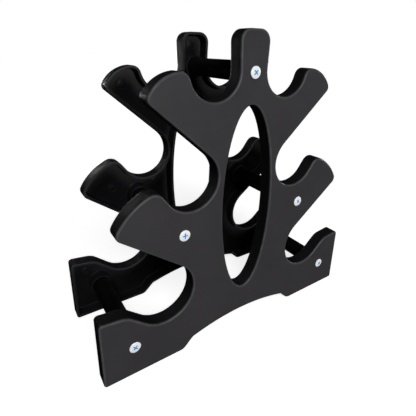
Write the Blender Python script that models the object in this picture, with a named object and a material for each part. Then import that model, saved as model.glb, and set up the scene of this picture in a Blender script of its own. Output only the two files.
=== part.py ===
"""Desktop dumbbell rack: two moulded tree-shaped side panels joined by five screwed crossbars.

Frame: X is the width, Y runs from the front panel to the rear one, Z is up.
The origin is on the floor, halfway across the rack and halfway between the panels.
"""

import math

import bmesh
import bpy

MM = 0.001

# Overall size
HALF_WIDTH = 150 * MM
HEIGHT = 299 * MM
DEPTH = 112.8 * MM  # from one panel's outer face to the other's

# Side panels: open shells, 3 mm thick, with a rounded outer edge
PANEL_DEPTH = 14.8 * MM
PANEL_FACE = 3 * MM
PANEL_WALL = 2.8 * MM
EDGE_RADIUS = 2 * MM
EDGE_STEPS = 2

# The panel's right half, from the middle of the base arch anticlockwise to the top.
# It is a belt stretched round these circles: x, z, radius. A negative radius is a hollow.
ARCH_RADIUS = 220 * MM
ARCH_RISE = 18.5 * MM
FOOT_CORNER = 3 * MM
FOOT_TOP = 67.7 * MM
FOOT_TOP_CORNER = 3.5 * MM
STEP_RADIUS = 9 * MM
TOP_CORNER = 10.5 * MM
BASE = [
    (0, ARCH_RISE - ARCH_RADIUS, -ARCH_RADIUS),
    (56.5 * MM, 4 * MM, -7 * MM),
    (74.5 * MM, STEP_RADIUS, STEP_RADIUS),
]
FOOT = [
    (HALF_WIDTH - FOOT_CORNER, FOOT_CORNER, FOOT_CORNER),
    (HALF_WIDTH - FOOT_TOP_CORNER, FOOT_TOP - FOOT_TOP_CORNER, FOOT_TOP_CORNER),
    (133 * MM, 47.5 * MM, 18.5 * MM),
]
LOW_CRADLE = (89.5 * MM, 73.5 * MM, -29.5 * MM)
MID_ARM = [(122.5 * MM, 144 * MM, 7 * MM), (97 * MM, 161.5 * MM, 11 * MM)]
MID_ARM_CROWN = 59 * MM
MID_CRADLE = (61 * MM, 176 * MM, -26.5 * MM)
UPPER_ARM = [(93 * MM, 247.5 * MM, 6 * MM), (71.5 * MM, 257 * MM, 9.5 * MM)]
UPPER_ARM_CROWN = 34 * MM
TOP_CRADLE = (39 * MM, 265.5 * MM, -24 * MM)
TOP_ARM = (5.5 * MM, HEIGHT - TOP_CORNER, TOP_CORNER)
ARC_STEP = math.radians(15)
LONGEST_CHORD = 12 * MM
SAME_POINT = 0.002 * MM  # arcs that touch share an end closer than this
NO_TURN = 0.1  # radians: an arc this close to a full turn is really no turn at all

# Pointed-oval window on the centre line
WINDOW_HALF_WIDTH = 28.6 * MM
WINDOW_HALF_HEIGHT = 94.5 * MM
WINDOW_HEIGHT = 142 * MM  # of its centre
WINDOW_SIDES = 36

# Crossbars: steel tubes that sit in collars on the panels' inner sides
CROSSBARS = {
    "top": (0, 264.2 * MM),
    "mid_left": (-69.6 * MM, 128.5 * MM),
    "mid_right": (69.6 * MM, 128.5 * MM),
    "bottom_left": (-120.6 * MM, 31.8 * MM),
    "bottom_right": (120.6 * MM, 31.8 * MM),
}
GAP = 0.3 * MM  # between pieces that touch
TUBE_RADIUS = 9.2 * MM
TUBE_WALL = 1.2 * MM
COLLAR_WALL = 1.8 * MM
COLLAR_SETBACK = 0.6 * MM  # below the panel's rim
ROUND_SIDES = 20
SMALL_SIDES = 16
SHARP_ANGLE = math.radians(35)

# Plugs pressed into the tubes' ends, which the screws bite into
PLUG_LENGTH = 18 * MM
PLUG_LEAD_IN = 1 * MM
PILOT_RADIUS = 2.1 * MM

# Self-tapping screws with a wide, low head and a cross recess
HEAD_RADIUS = 5.3 * MM
HEAD_RIM = 0.7 * MM
HEAD_HEIGHT = 1.4 * MM
DOME_RINGS = (0.35, 0.65, 0.85)  # shares of the head's radius
SHANK_RADIUS = 1.8 * MM
SHANK_LENGTH = 16 * MM
SCREW_POINT = 3 * MM
SCREW_HOLE_RADIUS = 2.6 * MM
RECESS_LENGTH = 6.6 * MM
RECESS_WIDTH = 1.4 * MM
RECESS_DEPTH = 0.9 * MM
RECESS_TAPER = 0.6  # width at the bottom, as a share of the mouth's

COLLAR_INNER = TUBE_RADIUS + GAP
COLLAR_OUTER = COLLAR_INNER + COLLAR_WALL
COLLAR_TOP = PANEL_DEPTH - COLLAR_SETBACK


def clear_scene():
    for item in list(bpy.data.objects):
        bpy.data.objects.remove(item, do_unlink=True)


def make_material(name, colour, roughness, metallic=0.0):
    material = bpy.data.materials.new(name)
    material.use_nodes = True
    shader = material.node_tree.nodes["Principled BSDF"]
    shader.inputs["Base Color"].default_value = (*colour, 1)
    shader.inputs["Roughness"].default_value = roughness
    shader.inputs["Metallic"].default_value = metallic
    return material


def add_object(name, mesh, material, location=(0, 0, 0), turned_round=False):
    """Place a mesh. One that is turned round faces the rear instead of the front."""
    item = bpy.data.objects.new(name, mesh)
    item.location = location
    item.rotation_euler.z = math.pi if turned_round else 0
    bpy.context.scene.collection.objects.link(item)
    if not mesh.materials:
        mesh.materials.append(material)
    return item


def finish_mesh(name, bm):
    bmesh.ops.recalc_face_normals(bm, faces=bm.faces)
    mesh = bpy.data.meshes.new(name)
    bm.to_mesh(mesh)
    bm.free()
    mesh.shade_smooth()
    mesh.set_sharp_from_angle(angle=SHARP_ANGLE)
    return mesh


def crown_circle(first, second, radius):
    """A large circle that both small circles touch from the inside: it bulges between them."""
    run = (second[0] - first[0], second[1] - first[1])
    span = math.hypot(*run)
    to_first = radius - first[2]
    to_second = radius - second[2]
    along = (to_first**2 - to_second**2 + span**2) / (2 * span)
    aside = math.sqrt(to_first**2 - along**2)
    x = first[0] + (run[0] * along - run[1] * aside) / span
    z = first[1] + (run[1] * along + run[0] * aside) / span
    return x, z, radius


def tangent_heading(first, second):
    """Direction of the straight run from one circle of the belt to the next."""
    run = (second[0] - first[0], second[1] - first[1])
    slant = (first[2] - second[2]) / math.hypot(*run)
    return math.atan2(run[1], run[0]) + math.asin(max(-1, min(1, slant)))


def half_outline():
    """The right half's arcs, each as its circle and the headings along it."""
    mid_crown = crown_circle(*MID_ARM, MID_ARM_CROWN)
    upper_crown = crown_circle(*UPPER_ARM, UPPER_ARM_CROWN)
    circles = [*BASE, *FOOT, LOW_CRADLE]
    circles += [MID_ARM[0], mid_crown, MID_ARM[1], MID_CRADLE]
    circles += [UPPER_ARM[0], upper_crown, UPPER_ARM[1], TOP_CRADLE, TOP_ARM]
    headings = [0.0]
    for first, second in zip(circles, circles[1:]):
        headings.append(tangent_heading(first, second))
    headings.append(math.pi)
    arcs = []
    for circle, start, end in zip(circles, headings, headings[1:]):
        way = 1 if circle[2] > 0 else -1
        turn = way * ((way * (end - start)) % math.tau)
        if abs(turn) > math.tau - NO_TURN:
            turn = 0.0
        chords = abs(turn * circle[2]) / LONGEST_CHORD
        steps = max(1, math.ceil(max(abs(turn) / ARC_STEP, chords)))
        arcs.append((circle, [start + turn * i / steps for i in range(steps + 1)]))
    return arcs


def panel_outline(inset):
    """The panel's outline, moved inwards by inset, as x, z points all the way round."""
    right = []
    for (x, z, radius), headings in half_outline():
        reach = radius - inset
        for heading in headings:
            point = (x + reach * math.sin(heading), z - reach * math.cos(heading))
            if not right or math.dist(point, right[-1]) > SAME_POINT:
                right.append(point)
    left = [(-x, z) for x, z in reversed(right[1:])]
    return right + left


def window_outline(inset):
    """The window's outline, moved into the material by inset."""
    points = []
    for i in range(WINDOW_SIDES):
        angle = math.tau * i / WINDOW_SIDES
        across = (math.cos(angle) * WINDOW_HALF_HEIGHT, math.sin(angle) * WINDOW_HALF_WIDTH)
        stretch = inset / math.hypot(*across)
        x = math.cos(angle) * WINDOW_HALF_WIDTH + across[0] * stretch
        z = math.sin(angle) * WINDOW_HALF_HEIGHT + across[1] * stretch
        points.append((x, WINDOW_HEIGHT + z))
    return points


def circle_outline(centre, radius, sides=ROUND_SIDES):
    angles = [math.tau * i / sides for i in range(sides)]
    return [(centre[0] + radius * math.cos(a), centre[1] + radius * math.sin(a)) for a in angles]


def add_ring(bm, points, y):
    return [bm.verts.new((x, y, z)) for x, z in points]


def skin_rings(bm, rings):
    """Join each ring of vertices to the next with a band of faces."""
    for near, far in zip(rings, rings[1:]):
        for i in range(len(near)):
            j = (i + 1) % len(near)
            bm.faces.new((near[i], near[j], far[j], far[i]))


def fill_between(bm, rings):
    """Fill the flat area inside the first ring and outside the others."""
    edges = []
    for ring in rings:
        for i in range(len(ring)):
            edges.append(bm.edges.get((ring[i], ring[i - 1])))
    bmesh.ops.triangle_fill(bm, use_beauty=True, edges=edges, normal=(0, -1, 0))


def shell_rings(bm, outline):
    """Rings of a moulded edge: rounded outside, straight wall, rim, and down to the floor."""
    stations = []
    for i in range(EDGE_STEPS + 1):
        angle = math.pi / 2 * i / EDGE_STEPS
        stations.append((EDGE_RADIUS * (1 - math.sin(angle)), EDGE_RADIUS * (1 - math.cos(angle))))
    stations += [(0, PANEL_DEPTH), (PANEL_WALL, PANEL_DEPTH), (PANEL_WALL, PANEL_FACE)]
    rings = [add_ring(bm, outline(inset), y) for inset, y in stations]
    skin_rings(bm, rings)
    return rings


def collar_rings(bm, centre):
    """A tube collar that stands on the floor, with the screw's hole through its middle."""
    stations = [(COLLAR_OUTER, PANEL_FACE), (COLLAR_OUTER, COLLAR_TOP)]
    stations += [(COLLAR_INNER, COLLAR_TOP), (COLLAR_INNER, PANEL_FACE)]
    stations += [(SCREW_HOLE_RADIUS, PANEL_FACE), (SCREW_HOLE_RADIUS, 0)]
    rings = [add_ring(bm, circle_outline(centre, radius), y) for radius, y in stations]
    skin_rings(bm, rings)
    return rings


def panel_mesh():
    """One side panel, outer face at y = 0 facing -Y, open towards +Y."""
    bm = bmesh.new()
    edge = shell_rings(bm, panel_outline)
    window = shell_rings(bm, window_outline)
    collars = [collar_rings(bm, centre) for centre in CROSSBARS.values()]
    fill_between(bm, [edge[0], window[0]] + [collar[-1] for collar in collars])
    fill_between(bm, [edge[-1], window[-1]] + [collar[0] for collar in collars])
    return finish_mesh("side_panel", bm)


def turned_mesh(name, profile, sides=ROUND_SIDES):
    """A body turned about Y from (radius, y) points. A closed profile gives a hollow body."""
    bm = bmesh.new()
    rings = []
    for radius, y in profile:
        if radius == 0:
            rings.append([bm.verts.new((0, y, 0))])
        else:
            rings.append(add_ring(bm, circle_outline((0, 0), radius, sides), y))
    if profile[0][0] > 0 and profile[-1][0] > 0:
        rings.append(rings[0])
    for near, far in zip(rings, rings[1:]):
        if len(near) == len(far):
            skin_rings(bm, [near, far])
            continue
        pole, ring = (near[0], far) if len(near) == 1 else (far[0], near)
        for i in range(sides):
            bm.faces.new((pole, ring[i - 1], ring[i]))
    return finish_mesh(name, bm)


def tube_mesh():
    """A crossbar, centred on the origin."""
    end = DEPTH / 2 - PANEL_FACE - GAP
    inner = TUBE_RADIUS - TUBE_WALL
    profile = [(TUBE_RADIUS, -end), (TUBE_RADIUS, end), (inner, end), (inner, -end)]
    return turned_mesh("crossbar", profile)


def plug_mesh():
    """An end plug with its outer end at y = 0 and its tapered end towards +Y."""
    radius = TUBE_RADIUS - TUBE_WALL - GAP
    profile = [(PILOT_RADIUS, 0), (radius, 0), (radius, PLUG_LENGTH - PLUG_LEAD_IN)]
    profile += [(radius - PLUG_LEAD_IN, PLUG_LENGTH), (PILOT_RADIUS, PLUG_LENGTH)]
    return turned_mesh("end_plug", profile, SMALL_SIDES)


def recess_mesh():
    """Cutter for the cross recess: a plus-shaped prism that narrows with depth along +Y."""
    arm = RECESS_LENGTH / 2
    half = RECESS_WIDTH / 2
    quarter = [(arm, -half), (arm, half), (half, half)]
    plus = []
    for turn in range(4):
        angle = math.pi / 2 * turn
        cos, sin = math.cos(angle), math.sin(angle)
        plus += [(x * cos - z * sin, x * sin + z * cos) for x, z in quarter]
    bm = bmesh.new()
    mouth = add_ring(bm, plus, -HEAD_HEIGHT - MM)
    narrowed = [(x * RECESS_TAPER, z * RECESS_TAPER) for x, z in plus]
    bottom = add_ring(bm, narrowed, RECESS_DEPTH - HEAD_HEIGHT)
    skin_rings(bm, [mouth, bottom])
    bm.faces.new(mouth)
    bm.faces.new(bottom)
    return finish_mesh("recess", bm)


def screw_mesh():
    """A screw with the underside of its head at y = 0 and its point towards +Y."""
    profile = [(0, -HEAD_HEIGHT)]
    for share in DOME_RINGS:
        drop = (HEAD_HEIGHT - HEAD_RIM) * (1 - math.sqrt(1 - share**2))
        profile.append((HEAD_RADIUS * share, drop - HEAD_HEIGHT))
    profile += [(HEAD_RADIUS, -HEAD_RIM), (HEAD_RADIUS, 0), (SHANK_RADIUS, 0)]
    profile += [(SHANK_RADIUS, SHANK_LENGTH - SCREW_POINT), (0, SHANK_LENGTH)]
    return turned_mesh("screw", profile, SMALL_SIDES)


def cut_recess(screw, cutter):
    modifier = screw.modifiers.new("cross_recess", "BOOLEAN")
    modifier.operation = "DIFFERENCE"
    modifier.solver = "EXACT"
    modifier.object = cutter


def add_panels(material):
    mesh = panel_mesh()
    add_object("side_panel_front", mesh, material, (0, -DEPTH / 2, 0))
    add_object("side_panel_rear", mesh, material, (0, DEPTH / 2, 0), turned_round=True)


def add_crossbars(material):
    mesh = tube_mesh()
    for place, (x, z) in CROSSBARS.items():
        add_object(f"crossbar_{place}", mesh, material, (x, 0, z))


def add_plugs(material):
    mesh = plug_mesh()
    end = DEPTH / 2 - PANEL_FACE - GAP
    for place, (x, z) in CROSSBARS.items():
        add_object(f"end_plug_{place}_front", mesh, material, (x, -end, z))
        add_object(f"end_plug_{place}_rear", mesh, material, (x, end, z), turned_round=True)


def add_screws(material):
    mesh = screw_mesh()
    recess = recess_mesh()
    seat = DEPTH / 2 + GAP
    for place, (x, z) in CROSSBARS.items():
        for side, y, turned_round in (("front", -seat, False), ("rear", seat, True)):
            screw = add_object(f"screw_{place}_{side}", mesh, material, (x, y, z), turned_round)
            cutter = add_object(f"recess_{place}_{side}", recess, material, (x, y, z), turned_round)
            cutter.hide_render = True
            cutter.display_type = "WIRE"
            cut_recess(screw, cutter)


def main():
    clear_scene()
    add_panels(make_material("black_moulded_plastic", (0.035, 0.033, 0.036), roughness=0.45))
    add_crossbars(make_material("black_coated_steel", (0.012, 0.012, 0.013), roughness=0.35))
    add_plugs(make_material("grey_nylon", (0.08, 0.08, 0.085), roughness=0.55))
    add_screws(make_material("zinc_plated_steel", (0.72, 0.76, 0.82), roughness=0.3, metallic=1.0))


main()
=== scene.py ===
import functools
import math

import bmesh
import bpy
from mathutils import Matrix, Vector


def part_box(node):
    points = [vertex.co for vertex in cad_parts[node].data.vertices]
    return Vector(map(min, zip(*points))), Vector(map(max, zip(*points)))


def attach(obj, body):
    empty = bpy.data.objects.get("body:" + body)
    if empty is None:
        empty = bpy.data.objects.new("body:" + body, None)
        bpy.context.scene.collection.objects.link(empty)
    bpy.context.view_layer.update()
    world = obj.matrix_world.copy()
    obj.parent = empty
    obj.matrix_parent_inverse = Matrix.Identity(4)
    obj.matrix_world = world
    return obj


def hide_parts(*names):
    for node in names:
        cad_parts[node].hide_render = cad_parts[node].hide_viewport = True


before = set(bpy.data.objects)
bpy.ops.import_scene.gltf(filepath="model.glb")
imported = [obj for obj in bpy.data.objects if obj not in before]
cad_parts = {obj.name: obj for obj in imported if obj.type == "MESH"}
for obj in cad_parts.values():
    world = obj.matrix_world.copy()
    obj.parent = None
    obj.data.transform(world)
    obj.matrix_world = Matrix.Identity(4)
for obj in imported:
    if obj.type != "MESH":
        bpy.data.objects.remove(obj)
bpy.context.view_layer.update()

MM = 0.001

# The panel's right half, from the middle of the base arch anticlockwise to the top.
# It is a belt stretched round these circles: x, z, radius. A negative radius is a hollow.
BASE = [(0, -201.5, -220), (56.5, 4, -7), (74.5, 9, 9)]
FOOT = [(147, 3, 3), (146.5, 64.2, 3.5), (133, 47.5, 18.5)]
LOW_CRADLE = (89.5, 73.5, -29.5)
MID_ARM = [(122.5, 144, 7), (97, 161.5, 11)]
MID_ARM_CROWN = 59
MID_CRADLE = (61, 176, -26.5)
UPPER_ARM = [(93, 247.5, 6), (71.5, 257, 9.5)]
UPPER_ARM_CROWN = 34
TOP_CRADLE = (39, 265.5, -24)
TOP_ARM = (5.5, 288.5, 10.5)
ARC_STEP = math.radians(5)
LONGEST_CHORD = 4
SAME_POINT = 0.002  # arcs that touch share an end closer than this
NO_TURN = 0.1  # radians: an arc this close to a full turn is really no turn at all

# Pointed-oval window on the centre line
WINDOW_HALF_WIDTH = 28.6
WINDOW_HALF_HEIGHT = 94.5
WINDOW_HEIGHT = 142  # of its centre
WINDOW_SIDES = 120

# Section of the moulded panels
PANEL_DEPTH = 14.8
PANEL_FACE = 3
PANEL_WALL = 2.8
EDGE_RADIUS = 2
RIM_RADIUS = 0.6
FLOOR_FILLET = 1.2
FLAT_MARGIN = 0.25  # width of the strips that keep flats flat beside a rounding
ROUNDING_STEPS = 5
GRAIN_DEPTH = 1.6  # how far down the edge the outer face's grain reaches; beyond it the plastic is coloured darker, partly as painted shade
EDGE_WEAR_AND_HIGHLIGHT = 1.0  # how far the outer edge is rubbed paler, the paleness also a painted highlight
RIM_WEAR = 0.35

# Crossbars and what holds them
TUBE_RADIUS = 9.2
TUBE_WALL = 1.2
TUBE_EDGE = 0.3
COLLAR_INNER = 9.5
COLLAR_OUTER = 11.3
COLLAR_TOP = 14.2
COLLAR_EDGE = 0.4
COLLAR_FILLET = 1
SCREW_HOLE_RADIUS = 2.6
ROUND_SIDES = 64
SHARP_ANGLE = math.radians(40)  # faces that meet more steeply keep a crisp edge
GAP = 0.3

# Marks that the mould's ejector pins leave on the panel's inner side: x, z, ring radius
PIN_MARKS = [(0, 286.4, 5.2), (79, 248, 5.2), (97, 140, 4.6), (47.5, 140, 4.6), (134, 50, 4)]
MARK_SIDES = 40
MARK_WIDTH = 0.45
MARK_HEIGHT = 0.35
BUTTON_SHARE = 0.55  # radius of the button inside a mark, as a share of the ring's

# Screws
HEAD_RADIUS = 5.3
HEAD_RIM = 0.7
HEAD_HEIGHT = 1.4
HEAD_EDGE = 0.15  # chamfer round the underside of the head
DOME_LEAN = math.radians(80)  # how far the dome has turned at the head's edge
DOME_STEPS = 8
SHANK_RADIUS = 1.8
SHANK_LENGTH = 16
SCREW_POINT = 3
RECESS_LENGTH = 6.6
RECESS_WIDTH = 1.4
RECESS_DEPTH = 0.9
RECESS_TAPER = 0.6  # width at the bottom, as a share of the mouth's
DRIVEN_TO = {"top": 45, "mid_left": 0, "mid_right": 40, "bottom_left": 42, "bottom_right": 40}  # degrees

PLACES = ["top", "mid_left", "mid_right", "bottom_left", "bottom_right"]


def middle(node):
    """Centre of a CAD node's box, in millimetres."""
    low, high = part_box(node)
    return (Vector(low) + Vector(high)) / 2 / MM


CROSSBARS = {name: middle(f"crossbar_{name}") for name in PLACES}
HALF_DEPTH = -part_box("side_panel_front")[0][1] / MM


# ---------------------------------------------------------------- outlines

def crown_circle(first, second, radius):
    """A large circle that both small circles touch from the inside: it bulges between them."""
    run = (second[0] - first[0], second[1] - first[1])
    span = math.hypot(*run)
    to_first = radius - first[2]
    to_second = radius - second[2]
    along = (to_first**2 - to_second**2 + span**2) / (2 * span)
    aside = math.sqrt(to_first**2 - along**2)
    x = first[0] + (run[0] * along - run[1] * aside) / span
    z = first[1] + (run[1] * along + run[0] * aside) / span
    return x, z, radius


def tangent_heading(first, second):
    """Direction of the straight run from one circle of the belt to the next."""
    run = (second[0] - first[0], second[1] - first[1])
    slant = (first[2] - second[2]) / math.hypot(*run)
    return math.atan2(run[1], run[0]) + math.asin(max(-1, min(1, slant)))


def half_outline():
    """The right half's arcs, each as its circle and the headings along it."""
    mid_crown = crown_circle(*MID_ARM, MID_ARM_CROWN)
    upper_crown = crown_circle(*UPPER_ARM, UPPER_ARM_CROWN)
    circles = [*BASE, *FOOT, LOW_CRADLE]
    circles += [MID_ARM[0], mid_crown, MID_ARM[1], MID_CRADLE]
    circles += [UPPER_ARM[0], upper_crown, UPPER_ARM[1], TOP_CRADLE, TOP_ARM]
    headings = [0.0]
    for first, second in zip(circles, circles[1:]):
        headings.append(tangent_heading(first, second))
    headings.append(math.pi)
    arcs = []
    for circle, start, end in zip(circles, headings, headings[1:]):
        way = 1 if circle[2] > 0 else -1
        turn = way * ((way * (end - start)) % math.tau)
        if abs(turn) > math.tau - NO_TURN:
            turn = 0.0
        chords = abs(turn * circle[2]) / LONGEST_CHORD
        steps = max(1, math.ceil(max(abs(turn) / ARC_STEP, chords)))
        arcs.append((circle, [start + turn * i / steps for i in range(steps + 1)]))
    return arcs


def panel_outline(inset):
    """The panel's outline, moved inwards by inset, as x, z points all the way round."""
    right = []
    for (x, z, radius), headings in half_outline():
        reach = radius - inset
        for heading in headings:
            point = (x + reach * math.sin(heading), z - reach * math.cos(heading))
            if not right or math.dist(point, right[-1]) > SAME_POINT:
                right.append(point)
    left = [(-x, z) for x, z in reversed(right[1:])]
    return right + left


def window_outline(inset):
    """The window's outline, moved into the material by inset."""
    points = []
    for i in range(WINDOW_SIDES):
        angle = math.tau * i / WINDOW_SIDES
        across = (math.cos(angle) * WINDOW_HALF_HEIGHT, math.sin(angle) * WINDOW_HALF_WIDTH)
        stretch = inset / math.hypot(*across)
        x = math.cos(angle) * WINDOW_HALF_WIDTH + across[0] * stretch
        z = math.sin(angle) * WINDOW_HALF_HEIGHT + across[1] * stretch
        points.append((x, WINDOW_HEIGHT + z))
    return points


def circle_outline(centre, radius, sides=ROUND_SIDES):
    angles = [math.tau * i / sides for i in range(sides)]
    return [(centre[0] + radius * math.cos(a), centre[1] + radius * math.sin(a)) for a in angles]


# ---------------------------------------------------------------- mesh helpers

def corner(centre, radius, start, end, wear_and_highlight=0.0):
    """Stations (offset, y, paleness from rubbing and painted highlight) round a corner, from one angle to
    another in degrees.
    """
    stations = []
    for i in range(ROUNDING_STEPS + 1):
        share = i / ROUNDING_STEPS
        angle = math.radians(start + (end - start) * share)
        offset = centre[0] + radius * math.cos(angle)
        y = centre[1] + radius * math.sin(angle)
        stations.append((offset, y, wear_and_highlight * math.sin(math.pi * share)))
    return stations


def start_mesh():
    """A mesh whose vertices know how rubbed and how brightly highlighted they are, the highlight being
    painted, and how far they lie on the grained outer face; off that face the colour is painted darker,
    partly as shade.
    """
    bm = bmesh.new()
    bm.verts.layers.float.new("wear_and_highlight")
    bm.verts.layers.float.new("outer_face")
    return bm


def add_ring(bm, points, y, wear_and_highlight=0.0):
    worn_and_highlit = bm.verts.layers.float["wear_and_highlight"]
    grained = bm.verts.layers.float["outer_face"]
    ring = [bm.verts.new((x * MM, y * MM, z * MM)) for x, z in points]
    for vertex in ring:
        vertex[worn_and_highlit] = wear_and_highlight
        # outer_face falls from 1 on the grained face to 0 down the edge; where it is 0 the darker colour,
        # partly painted shade, takes over
        vertex[grained] = max(0.0, 1 - y / GRAIN_DEPTH)
    return ring


def skin_rings(bm, rings):
    """Join each ring of vertices to the next with a band of faces."""
    for near, far in zip(rings, rings[1:]):
        for i in range(len(near)):
            j = (i + 1) % len(near)
            bm.faces.new((near[i], near[j], far[j], far[i]))


def fill_between(bm, rings):
    """Fill the flat area inside the first ring and outside the others."""
    edges = []
    for ring in rings:
        for i in range(len(ring)):
            edges.append(bm.edges.get((ring[i], ring[i - 1])))
    bmesh.ops.triangle_fill(bm, use_beauty=True, edges=edges, normal=(0, -1, 0))


def finish_mesh(name, bm):
    bmesh.ops.recalc_face_normals(bm, faces=bm.faces)
    mesh = bpy.data.meshes.new(name)
    bm.to_mesh(mesh)
    bm.free()
    mesh.shade_smooth()
    mesh.set_sharp_from_angle(angle=SHARP_ANGLE)
    return mesh


def place(mesh, name, x, y, z, turned_round, node, slot, materials, spin=0):
    """Put a mesh where its CAD node is. One that is turned round faces the rear."""
    piece = bpy.data.objects.new(name, mesh.copy())
    turn = Matrix.Rotation(math.pi if turned_round else 0, 4, "Z")
    turn = turn @ Matrix.Rotation(math.radians(spin), 4, "Y")
    piece.data.transform(Matrix.Translation(Vector((x, y, z)) * MM) @ turn)
    for material in materials:
        piece.data.materials.append(material)
    bpy.context.scene.collection.objects.link(piece)
    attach(piece, "root")
    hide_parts(node)
    return piece


# ---------------------------------------------------------------- side panels

def edge_stations():
    """The moulded edge's section: rounded outside, rim, and down to the floor."""
    rim_y = PANEL_DEPTH - RIM_RADIUS
    stations = [(EDGE_RADIUS + FLAT_MARGIN, 0, 0)]
    # the outer edge's rounding is painted paler: rubbing and a painted highlight
    stations += corner((EDGE_RADIUS, EDGE_RADIUS), EDGE_RADIUS, 270, 180, EDGE_WEAR_AND_HIGHLIGHT)
    stations += [(0, EDGE_RADIUS + FLAT_MARGIN, 0), (0, rim_y - FLAT_MARGIN, 0)]
    stations += corner((RIM_RADIUS, rim_y), RIM_RADIUS, 180, 90, RIM_WEAR)
    stations += corner((PANEL_WALL - RIM_RADIUS, rim_y), RIM_RADIUS, 90, 0, RIM_WEAR)
    stations += [(PANEL_WALL, rim_y - FLAT_MARGIN, 0)]
    stations += [(PANEL_WALL, PANEL_FACE + FLOOR_FILLET + FLAT_MARGIN, 0)]
    foot = (PANEL_WALL + FLOOR_FILLET, PANEL_FACE + FLOOR_FILLET)
    stations += corner(foot, FLOOR_FILLET, 180, 270)
    stations += [(PANEL_WALL + FLOOR_FILLET + FLAT_MARGIN, PANEL_FACE, 0)]
    return stations


def collar_stations():
    """A tube collar's section, from its foot over its rim and out of the screw's hole."""
    edge_y = COLLAR_TOP - COLLAR_EDGE
    foot = (COLLAR_OUTER + COLLAR_FILLET, PANEL_FACE + COLLAR_FILLET)
    stations = [(COLLAR_OUTER + COLLAR_FILLET + FLAT_MARGIN, PANEL_FACE, 0)]
    stations += corner(foot, COLLAR_FILLET, 270, 180)
    stations += [(COLLAR_OUTER, PANEL_FACE + COLLAR_FILLET + FLAT_MARGIN, 0)]
    stations += [(COLLAR_OUTER, edge_y - FLAT_MARGIN, 0)]
    stations += corner((COLLAR_OUTER - COLLAR_EDGE, edge_y), COLLAR_EDGE, 0, 90, RIM_WEAR)
    stations += corner((COLLAR_INNER + COLLAR_EDGE, edge_y), COLLAR_EDGE, 90, 180, RIM_WEAR)
    stations += [(COLLAR_INNER, PANEL_FACE, 0)]
    stations += [(SCREW_HOLE_RADIUS, PANEL_FACE, 0), (SCREW_HOLE_RADIUS, 0, 0)]
    return stations


def mark_stations(radius):
    """An ejector-pin mark's section: a raised ring round a low button."""
    top = PANEL_FACE + MARK_HEIGHT
    button = radius * BUTTON_SHARE
    stations = [(radius + MARK_WIDTH, PANEL_FACE, 0), (radius + MARK_WIDTH / 3, top, RIM_WEAR)]
    stations += [(radius - MARK_WIDTH / 3, top, RIM_WEAR), (radius - MARK_WIDTH, PANEL_FACE, 0)]
    stations += [(button + MARK_WIDTH, PANEL_FACE, 0), (button, top, RIM_WEAR)]
    stations += [(button / 2, top + MARK_HEIGHT / 2, 0)]
    return stations


def section_rings(bm, outline, stations):
    rings = [add_ring(bm, outline(offset), y, wear_and_highlight) for offset, y, wear_and_highlight in stations]
    skin_rings(bm, rings)
    return rings


def panel_mesh():
    """One side panel, outer face at y = 0 facing -Y, open towards +Y."""
    bm = start_mesh()
    edge = section_rings(bm, panel_outline, edge_stations())
    window = section_rings(bm, window_outline, edge_stations())
    collars = []
    for centre in CROSSBARS.values():
        spot = (centre.x, centre.z)
        outline = functools.partial(circle_outline, spot)
        collars.append(section_rings(bm, outline, collar_stations()))
    marks = []
    for x, z, radius in PIN_MARKS:
        for side in {x, -x}:
            outline = functools.partial(circle_outline, (side, z), sides=MARK_SIDES)
            mark = section_rings(bm, outline, mark_stations(radius))
            bm.faces.new(mark[-1])
            marks.append(mark)
    fill_between(bm, [edge[0], window[0]] + [collar[-1] for collar in collars])
    inner_holes = [ring[0] for ring in collars + marks]
    fill_between(bm, [edge[-1], window[-1]] + inner_holes)
    return finish_mesh("side_panel", bm)


# ---------------------------------------------------------------- turned pieces

def turned_mesh(name, profile, sides=ROUND_SIDES):
    """A body turned about Y from (radius, y) points. A closed profile gives a hollow body."""
    bm = start_mesh()
    rings = []
    for radius, y in profile:
        if radius == 0:
            rings.append([bm.verts.new((0, y * MM, 0))])
        else:
            rings.append(add_ring(bm, circle_outline((0, 0), radius, sides), y))
    if profile[0][0] > 0 and profile[-1][0] > 0:
        rings.append(rings[0])
    for near, far in zip(rings, rings[1:]):
        if len(near) == len(far):
            skin_rings(bm, [near, far])
            continue
        pole, ring = (near[0], far) if len(near) == 1 else (far[0], near)
        for i in range(sides):
            bm.faces.new((pole, ring[i - 1], ring[i]))
    return finish_mesh(name, bm)


def tube_mesh():
    """A crossbar, centred on the origin, its cut ends slightly rounded."""
    end = HALF_DEPTH - PANEL_FACE - GAP
    bore = TUBE_RADIUS - TUBE_WALL
    outside = (TUBE_RADIUS - TUBE_EDGE, end - TUBE_EDGE)
    inside = (bore + TUBE_EDGE, end - TUBE_EDGE)
    half = corner(outside, TUBE_EDGE, 0, 90) + corner(inside, TUBE_EDGE, 90, 180)
    profile = [(radius, y) for radius, y, _ in half]
    profile += [(radius, -y) for radius, y in reversed(profile)]
    return turned_mesh("crossbar", profile)


def recess_cutter():
    """The cross recess as a plus-shaped prism that narrows with depth along +Y."""
    arm = RECESS_LENGTH / 2
    half = RECESS_WIDTH / 2
    quarter = [(arm, -half), (arm, half), (half, half)]
    plus = []
    for turn in range(4):
        angle = math.pi / 2 * turn
        cos, sin = math.cos(angle), math.sin(angle)
        plus += [(x * cos - z * sin, x * sin + z * cos) for x, z in quarter]
    bm = start_mesh()
    mouth = add_ring(bm, plus, -HEAD_HEIGHT - 1)
    narrowed = [(x * RECESS_TAPER, z * RECESS_TAPER) for x, z in plus]
    bottom = add_ring(bm, narrowed, RECESS_DEPTH - HEAD_HEIGHT)
    skin_rings(bm, [mouth, bottom])
    bm.faces.new(mouth)
    bm.faces.new(bottom)
    return finish_mesh("recess", bm)


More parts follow.
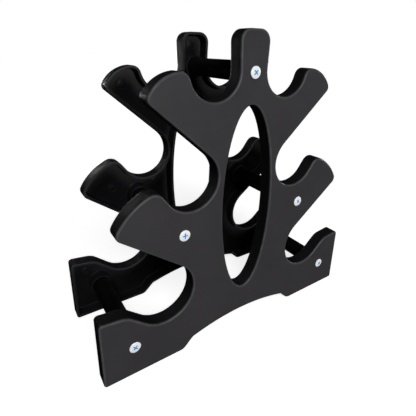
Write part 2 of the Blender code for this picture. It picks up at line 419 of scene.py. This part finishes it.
def screw_mesh():
    """A screw with the underside of its head at y = 0 and its point towards +Y."""
    dome = HEAD_HEIGHT - HEAD_RIM
    profile = [(0, -HEAD_HEIGHT)]
    for i in range(1, DOME_STEPS + 1):
        lean = DOME_LEAN * i / DOME_STEPS
        radius = HEAD_RADIUS * math.sin(lean) / math.sin(DOME_LEAN)
        fall = dome * (1 - math.cos(lean)) / (1 - math.cos(DOME_LEAN))
        profile.append((radius, fall - HEAD_HEIGHT))
    profile += [(HEAD_RADIUS, -HEAD_EDGE), (HEAD_RADIUS - HEAD_EDGE, 0), (SHANK_RADIUS, 0)]
    profile += [(SHANK_RADIUS, SHANK_LENGTH - SCREW_POINT), (0, SHANK_LENGTH)]
    screw = bpy.data.objects.new("screw_blank", turned_mesh("screw", profile))
    cutter = bpy.data.objects.new("recess_cutter", recess_cutter())
    screw.data.materials.append(ZINC)
    cutter.data.materials.append(RECESS)
    for item in (screw, cutter):
        bpy.context.scene.collection.objects.link(item)
    cut = screw.modifiers.new("cross_recess", "BOOLEAN")
    cut.operation = "DIFFERENCE"
    cut.solver = "EXACT"
    cut.material_mode = "TRANSFER"
    cut.object = cutter
    ready = screw.evaluated_get(bpy.context.evaluated_depsgraph_get())
    mesh = bpy.data.meshes.new_from_object(ready)
    mesh.set_sharp_from_angle(angle=SHARP_ANGLE)
    for item in (screw, cutter):
        bpy.data.objects.remove(item, do_unlink=True)
    return mesh


# ---------------------------------------------------------------- materials

def node(tree, kind, inputs=None, **settings):
    made = tree.nodes.new(kind)
    for key, value in settings.items():
        setattr(made, key, value)
    for key, value in (inputs or {}).items():
        made.inputs[key].default_value = value
    return made


def noise(tree, place_from, scale, detail=2.0, roughness=0.5):
    made = node(tree, "ShaderNodeTexNoise", {"Scale": scale, "Detail": detail, "Roughness": roughness})
    tree.links.new(place_from, made.inputs["Vector"])
    return made.outputs["Fac"]


def spread(tree, value, low, high, from_low=0.3, from_high=0.7):
    made = node(tree, "ShaderNodeMapRange", {"From Min": from_low, "From Max": from_high})
    made.inputs["To Min"].default_value = low
    made.inputs["To Max"].default_value = high
    tree.links.new(value, made.inputs["Value"])
    return made.outputs["Result"]


def blend(tree, factor, first, second):
    made = node(tree, "ShaderNodeMix", data_type="RGBA")
    for name, value in (("A", first), ("B", second)):
        socket = next(s for s in made.inputs if s.name == name and s.type == "RGBA")
        if isinstance(value, tuple):
            socket.default_value = (*value, 1)
        else:
            tree.links.new(value, socket)
    tree.links.new(factor, made.inputs[0])
    return next(s for s in made.outputs if s.type == "RGBA")


def start_material(name):
    material = bpy.data.materials.new(name)
    material.use_nodes = True
    tree = material.node_tree
    shader = tree.nodes["Principled BSDF"]
    coordinates = node(tree, "ShaderNodeTexCoord").outputs["Object"]
    return material, tree, shader, coordinates


def add_bump(tree, shader, height, strength, distance):
    made = node(tree, "ShaderNodeBump", {"Strength": strength, "Distance": distance})
    tree.links.new(height, made.inputs["Height"])
    tree.links.new(made.outputs["Normal"], shader.inputs["Normal"])


def panel_plastic():
    """Black moulded plastic: spark-eroded grain outside; walls and inside without grain and painted
    blacker, partly as painted shade. Rubbed edges are painted paler, partly as a painted highlight.
    """
    material, tree, shader, place_from = start_material("panel_plastic")
    outer = node(tree, "ShaderNodeAttribute", attribute_name="outer_face").outputs["Fac"]
    cloud = spread(tree, noise(tree, place_from, 28, detail=3), 0, 1)
    grained = blend(tree, cloud, (0.0355, 0.0335, 0.0362), (0.0405, 0.0382, 0.0412))
    # painted shade: walls and inside take this darker colour, partly for their grainless finish and partly
    # standing for the shade they lie in
    smooth_and_shaded = blend(tree, cloud, (0.0122, 0.0122, 0.0142), (0.0166, 0.0166, 0.0190))
    base = blend(tree, outer, smooth_and_shaded, grained)
    edge = node(tree, "ShaderNodeAttribute", attribute_name="wear_and_highlight").outputs["Fac"]
    patchy = node(tree, "ShaderNodeMath", operation="MULTIPLY")
    tree.links.new(spread(tree, noise(tree, place_from, 160, detail=3), 0.25, 0.6), patchy.inputs[0])
    tree.links.new(edge, patchy.inputs[1])
    worn_and_highlit = patchy.outputs["Value"]
    # painted highlight: rubbed edges blend to this paler colour, partly for rubbing and partly standing for
    # the highlight rounded edges catch
    tree.links.new(blend(tree, worn_and_highlit, base, (0.115, 0.110, 0.118)), shader.inputs["Base Color"])
    patches = noise(tree, place_from, 90, detail=2)
    tree.links.new(spread(tree, patches, 0.40, 0.50), shader.inputs["Roughness"])
    grain = noise(tree, place_from, 2600, detail=2, roughness=0.6)
    add_bump(tree, shader, grain, 0.18, 0.00012)
    shader.inputs["Specular IOR Level"].default_value = 0.22
    return material


def crossbar_steel():
    """Black powder coat: a shallow orange peel over a fine texture."""
    material, tree, shader, place_from = start_material("crossbar_steel")
    cloud = noise(tree, place_from, 40, detail=3)
    tree.links.new(
        blend(tree, spread(tree, cloud, 0, 1), (0.0035, 0.0035, 0.0037), (0.006, 0.006, 0.0062)),
        shader.inputs["Base Color"],
    )
    peel = noise(tree, place_from, 700, detail=2)
    tree.links.new(spread(tree, noise(tree, place_from, 160), 0.3, 0.4), shader.inputs["Roughness"])
    add_bump(tree, shader, peel, 0.2, 0.0001)
    return material


def plug_nylon():
    """Dark grey nylon, dull and slightly mottled."""
    material, tree, shader, place_from = start_material("plug_nylon")
    cloud = noise(tree, place_from, 120, detail=3)
    tree.links.new(
        blend(tree, spread(tree, cloud, 0, 1), (0.07, 0.07, 0.074), (0.09, 0.09, 0.095)),
        shader.inputs["Base Color"],
    )
    tree.links.new(spread(tree, cloud, 0.5, 0.62), shader.inputs["Roughness"])
    add_bump(tree, shader, noise(tree, place_from, 900), 0.2, 0.0001)
    return material


def zinc(name, pale, dark, rough):
    """Bright zinc plate: cloudy brightness and fine pitting."""
    material, tree, shader, place_from = start_material(name)
    cloud = noise(tree, place_from, 380, detail=3)
    tree.links.new(blend(tree, spread(tree, cloud, 0, 1), dark, pale), shader.inputs["Base Color"])
    tree.links.new(spread(tree, cloud, rough, rough + 0.12), shader.inputs["Roughness"])
    add_bump(tree, shader, noise(tree, place_from, 3000), 0.15, 0.00005)
    return material, shader


def floor_material():
    """Pale studio floor, softly lit from below like a light table."""
    material, tree, shader, place_from = start_material("studio_floor")
    cloud = noise(tree, place_from, 5, detail=3)
    tree.links.new(
        blend(tree, spread(tree, cloud, 0, 1), (0.78, 0.78, 0.78), (0.8, 0.8, 0.8)),
        shader.inputs["Base Color"],
    )
    shader.inputs["Emission Color"].default_value = (1, 1, 1, 1)
    shader.inputs["Emission Strength"].default_value = FLOOR_GLOW
    shader.inputs["Roughness"].default_value = 0.8
    shader.inputs["Specular IOR Level"].default_value = 0.1
    return material


PLASTIC = panel_plastic()
STEEL = crossbar_steel()
NYLON = plug_nylon()
ZINC, zinc_shader = zinc("screw_zinc", (0.97, 0.99, 1.0), (0.90, 0.96, 0.99), 0.36)
zinc_shader.inputs["Metallic"].default_value = 0.05
RECESS, recess_shader = zinc("screw_recess", (0.01, 0.37, 0.90), (0.01, 0.28, 0.74), 0.45)
recess_shader.inputs["Metallic"].default_value = 0.05


# ---------------------------------------------------------------- the rack

def build_rack():
    panel = panel_mesh()
    place(panel, "panel_front", 0, -HALF_DEPTH, 0, False, "side_panel_front", "panel_plastic", [PLASTIC])
    place(panel, "panel_rear", 0, HALF_DEPTH, 0, True, "side_panel_rear", "panel_plastic", [PLASTIC])
    tube = tube_mesh()
    screw = screw_mesh()
    seat = HALF_DEPTH + GAP
    for name, spot in CROSSBARS.items():
        place(tube, f"tube_{name}", spot.x, 0, spot.z, False, f"crossbar_{name}", "crossbar_steel", [STEEL])
        for side, y, turned_round in (("front", -seat, False), ("rear", seat, True)):
            cad = f"screw_{name}_{side}"
            at = (spot.x, y, spot.z, turned_round)
            place(screw, f"fixing_{name}_{side}", *at, cad, "screw_zinc", [], DRIVEN_TO[name])
            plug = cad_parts[f"end_plug_{name}_{side}"]
            for slot in plug.material_slots:
                slot.material = NYLON


# ---------------------------------------------------------------- studio

CAMERA_PLACE = (-0.19666, -0.28586, 0.28228)
CAMERA_AZIMUTH = -33.188  # degrees
CAMERA_ELEVATION = 19.137
CAMERA_ROLL = 0.920
CAMERA_LENS = 29.546  # mm, on a 36 mm sensor
SHIFT_X = 0.0009
SHIFT_Y = -0.0974
FLOOR_GLOW = 0.82

# Soft lights: name, azimuth and elevation they shine from, strength, angular size
LIGHTS = [
    ("key", 0, 5, 0.66, 14),
    ("upper", -22, 44, 0.29, 22),
    ("low_left", -40, -50, 0.06, 30),
    ("back", 180, 0, 0.60, 8),
    ("right", 90, 0, 0.45, 12),
]


def add_camera():
    data = bpy.data.cameras.new("camera")
    data.sensor_width = 36
    data.lens = CAMERA_LENS
    data.shift_x = SHIFT_X
    data.shift_y = SHIFT_Y
    data.clip_start = 0.01
    data.clip_end = 50
    camera = bpy.data.objects.new("camera", data)
    turn = Matrix.Rotation(math.radians(CAMERA_AZIMUTH), 4, "Z")
    tilt = Matrix.Rotation(math.radians(90 - CAMERA_ELEVATION), 4, "X")
    roll = Matrix.Rotation(math.radians(CAMERA_ROLL), 4, "Z")
    camera.matrix_world = Matrix.Translation(CAMERA_PLACE) @ turn @ tilt @ roll
    bpy.context.scene.collection.objects.link(camera)
    bpy.context.scene.camera = camera


def add_light(name, azimuth, elevation, strength, softness):
    """Soft light from far off. Strength is the brightness it gives a white surface that faces it."""
    data = bpy.data.lights.new(name, "SUN")
    data.energy = strength * math.pi
    data.angle = math.radians(softness)
    light = bpy.data.objects.new(name, data)
    a = math.radians(azimuth)
    e = math.radians(elevation)
    away = Vector((math.sin(a) * math.cos(e), -math.cos(a) * math.cos(e), math.sin(e)))
    light.matrix_world = away.to_track_quat("Z", "Y").to_matrix().to_4x4()
    bpy.context.scene.collection.objects.link(light)


def add_floor():
    bm = bmesh.new()
    bmesh.ops.create_grid(bm, x_segments=8, y_segments=8, size=6)
    floor = bpy.data.objects.new("studio_floor", finish_mesh("studio_floor", bm))
    floor.data.materials.append(floor_material())
    bpy.context.scene.collection.objects.link(floor)
    floor.visible_diffuse = False
    floor.visible_glossy = False


def add_world():
    world = bpy.data.worlds.new("studio")
    world.use_nodes = True
    background = world.node_tree.nodes["Background"]
    background.inputs["Color"].default_value = (1, 1, 1, 1)
    background.inputs["Strength"].default_value = 1.0
    world.cycles_visibility.diffuse = False
    world.cycles_visibility.glossy = False
    bpy.context.scene.world = world


build_rack()
add_camera()
add_floor()
add_world()
for name, azimuth, elevation, strength, softness in LIGHTS:
    add_light(name, azimuth, elevation, strength, softness)
bpy.context.scene.view_settings.view_transform = "Standard"
